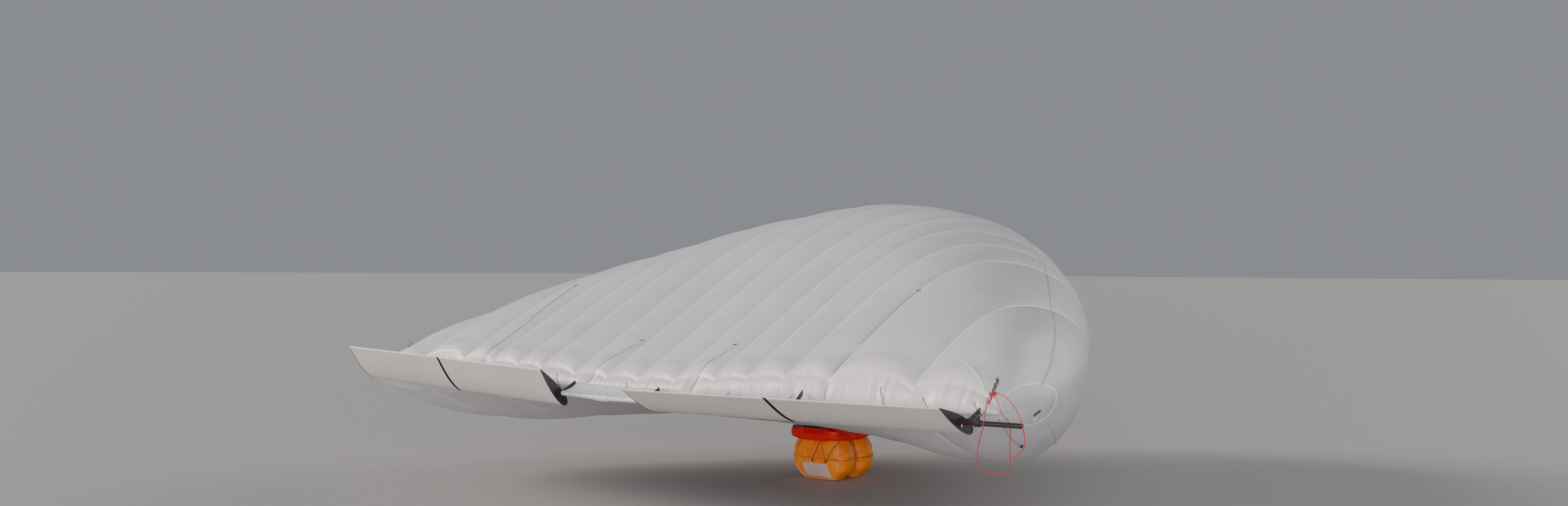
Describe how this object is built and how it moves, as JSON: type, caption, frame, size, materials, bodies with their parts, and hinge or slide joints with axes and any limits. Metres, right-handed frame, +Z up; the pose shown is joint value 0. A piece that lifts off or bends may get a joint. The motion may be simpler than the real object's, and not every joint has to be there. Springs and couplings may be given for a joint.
{
  "type": "remote-controlled lifting-body airship",
  "caption": "Crescent-shaped ribbed film airship with all-moving flaps on a tail tube, twin propellers on a keel plate, and an orange air-filled landing cushion.",
  "frame": {"origin": "on the floor under the middle of the craft's outline", "axes": "+X to starboard along the span, +Y forward towards the nose, +Z up"},
  "size_m": [5.8705, 5.3527, 2.1342],
  "materials": {
    "film": "thin milky film, satin, slightly see-through",
    "flap": "taut covering film, satin",
    "carbon": "black carbon laminate, semi-gloss",
    "cushion": "coated orange cloth, satin",
    "pad": "coated red cloth, satin",
    "battery": "blue shrink film over cells",
    "box": "black plastic case, matte",
    "foam": "closed-cell foam, matte",
    "motor": "black anodised, satin",
    "propeller": "black moulded plastic, satin",
    "sleeve": "clear grey film, glossy",
    "rope": "braided red cord, matte",
    "cord": "thin dark grey braided cord, matte"
  },
  "bodies": {
    "craft": {"upper_skin_port": "film", "upper_skin_centre": "film", "upper_skin_starboard": "film", "nose_strip_port": "film", "nose_strip_centre": "film", "nose_strip_starboard": "film", "lower_skin_port": "film", "lower_skin_centre": "film", "lower_skin_starboard": "film", "tail_strip_port": "film", "tail_strip_centre": "film", "tail_strip_starboard": "film", "tip_panel_port": "film", "tip_panel_starboard": "film", "stay_outer_port": "cord", "stay_inner_port": "cord", "stay_inner_starboard": "cord", "stay_outer_starboard": "cord", "tail_tube_port": "carbon", "tail_tube_starboard": "carbon", "tube_joiner": "carbon", "tube_sleeve": "film", "tube_collar_starboard": "carbon", "bracket_inner_port": "carbon", "bracket_inner_starboard": "carbon", "bracket_middle_port": "carbon", "bracket_middle_starboard": "carbon", "bracket_outer_port": "carbon", "bracket_outer_starboard": "carbon", "landing_bag_aft": "cushion", "landing_bag_forward": "cushion", "landing_pad": "pad", "keel_plate": "carbon", "battery": "battery", "control_box": "box", "belly_saddle_aft": "foam", "belly_saddle_forward": "foam", "motor_boom": "carbon", "motor_port": "motor", "motor_starboard": "motor", "gas_sleeve_port": "sleeve", "gas_sleeve_starboard": "sleeve", "rope_long_loop": "rope", "rope_short_loop": "rope", "rope_knot": "rope"},
    "inner_port_flap": {"flap_inner_port": "flap", "flap_inner_port_plate_a": "carbon", "flap_inner_port_plate_b": "carbon"},
    "outer_port_flap": {"flap_outer_port": "flap", "flap_outer_port_plate_a": "carbon", "flap_outer_port_plate_b": "carbon"},
    "inner_starboard_flap": {"flap_inner_starboard": "flap", "flap_inner_starboard_plate_a": "carbon", "flap_inner_starboard_plate_b": "carbon"},
    "outer_starboard_flap": {"flap_outer_starboard": "flap", "flap_outer_starboard_plate_a": "carbon", "flap_outer_starboard_plate_b": "carbon"},
    "port_propeller": {"propeller_port": "propeller"},
    "starboard_propeller": {"propeller_starboard": "propeller"}
  },
  "joints": [
    {"name": "inner_port_flap_hinge", "type": "hinge", "parent": "craft", "child": "inner_port_flap", "pos_m": [-0.105, -2.47, 0.775], "axis": [0.9997, 0, -0.0235], "range_deg": [-13, 77]},
    {"name": "outer_port_flap_hinge", "type": "hinge", "parent": "craft", "child": "outer_port_flap", "pos_m": [-0.105, -2.47, 0.775], "axis": [0.9997, 0, -0.0235], "range_deg": [-13, 77]},
    {"name": "inner_starboard_flap_hinge", "type": "hinge", "parent": "craft", "child": "inner_starboard_flap", "pos_m": [-0.105, -2.47, 0.775], "axis": [0.9997, 0, 0.0235], "range_deg": [-35.5, 54.5]},
    {"name": "outer_starboard_flap_hinge", "type": "hinge", "parent": "craft", "child": "outer_starboard_flap", "pos_m": [-0.105, -2.47, 0.775], "axis": [0.9997, 0, 0.0235], "range_deg": [-35.5, 54.5]},
    {"name": "port_propeller_spin", "type": "hinge", "parent": "craft", "child": "port_propeller", "pos_m": [-0.555, 0.7734, 0.4], "axis": [0, 1, 0], "continuous": true},
    {"name": "starboard_propeller_spin", "type": "hinge", "parent": "craft", "child": "starboard_propeller", "pos_m": [0.345, 0.7734, 0.4], "axis": [0, 1, 0], "continuous": true}
  ]
}
